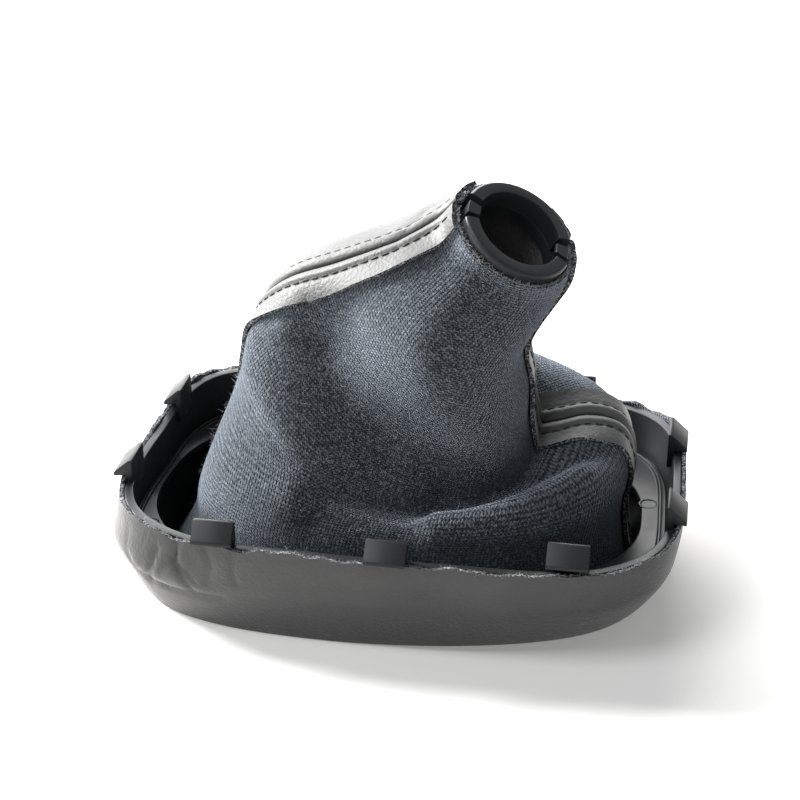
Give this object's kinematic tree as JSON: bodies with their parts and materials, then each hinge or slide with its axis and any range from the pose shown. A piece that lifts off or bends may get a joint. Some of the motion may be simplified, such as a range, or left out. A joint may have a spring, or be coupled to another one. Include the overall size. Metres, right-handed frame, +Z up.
{
  "type": "gear lever gaiter",
  "caption": "Car gear lever gaiter: clip-in plastic frame wrapped in leatherette, with a sewn sleeve narrowing to a leaning knob collar, shown lying on its face with the sleeve turned inside out.",
  "frame": {"origin": "Middle of the face the gaiter lies on, at its lowest point.", "axes": "+X runs along the length of the covered frame, the way the collar leans; +Y to the rear, away from the camera; +Z up, the way the clips and the sleeve point."},
  "size_m": [0.1482, 0.1004, 0.1069],
  "materials": {
    "frame_plastic": "moulded, lightly grained",
    "collar_plastic": "moulded, satin",
    "leatherette": "fine grain on one side, fine knit backing on the other",
    "thread": "twisted sewing thread"
  },
  "bodies": {
    "root": {"retaining_frame": "frame_plastic", "knob_collar": "collar_plastic", "front_panel": "leatherette", "rear_panel": "leatherette", "left_seam_front_topstitch": "thread", "left_seam_rear_topstitch": "thread", "left_seam_thread": "thread", "right_seam_front_topstitch": "thread", "right_seam_rear_topstitch": "thread", "right_seam_thread": "thread"}
  },
  "joints": []
}
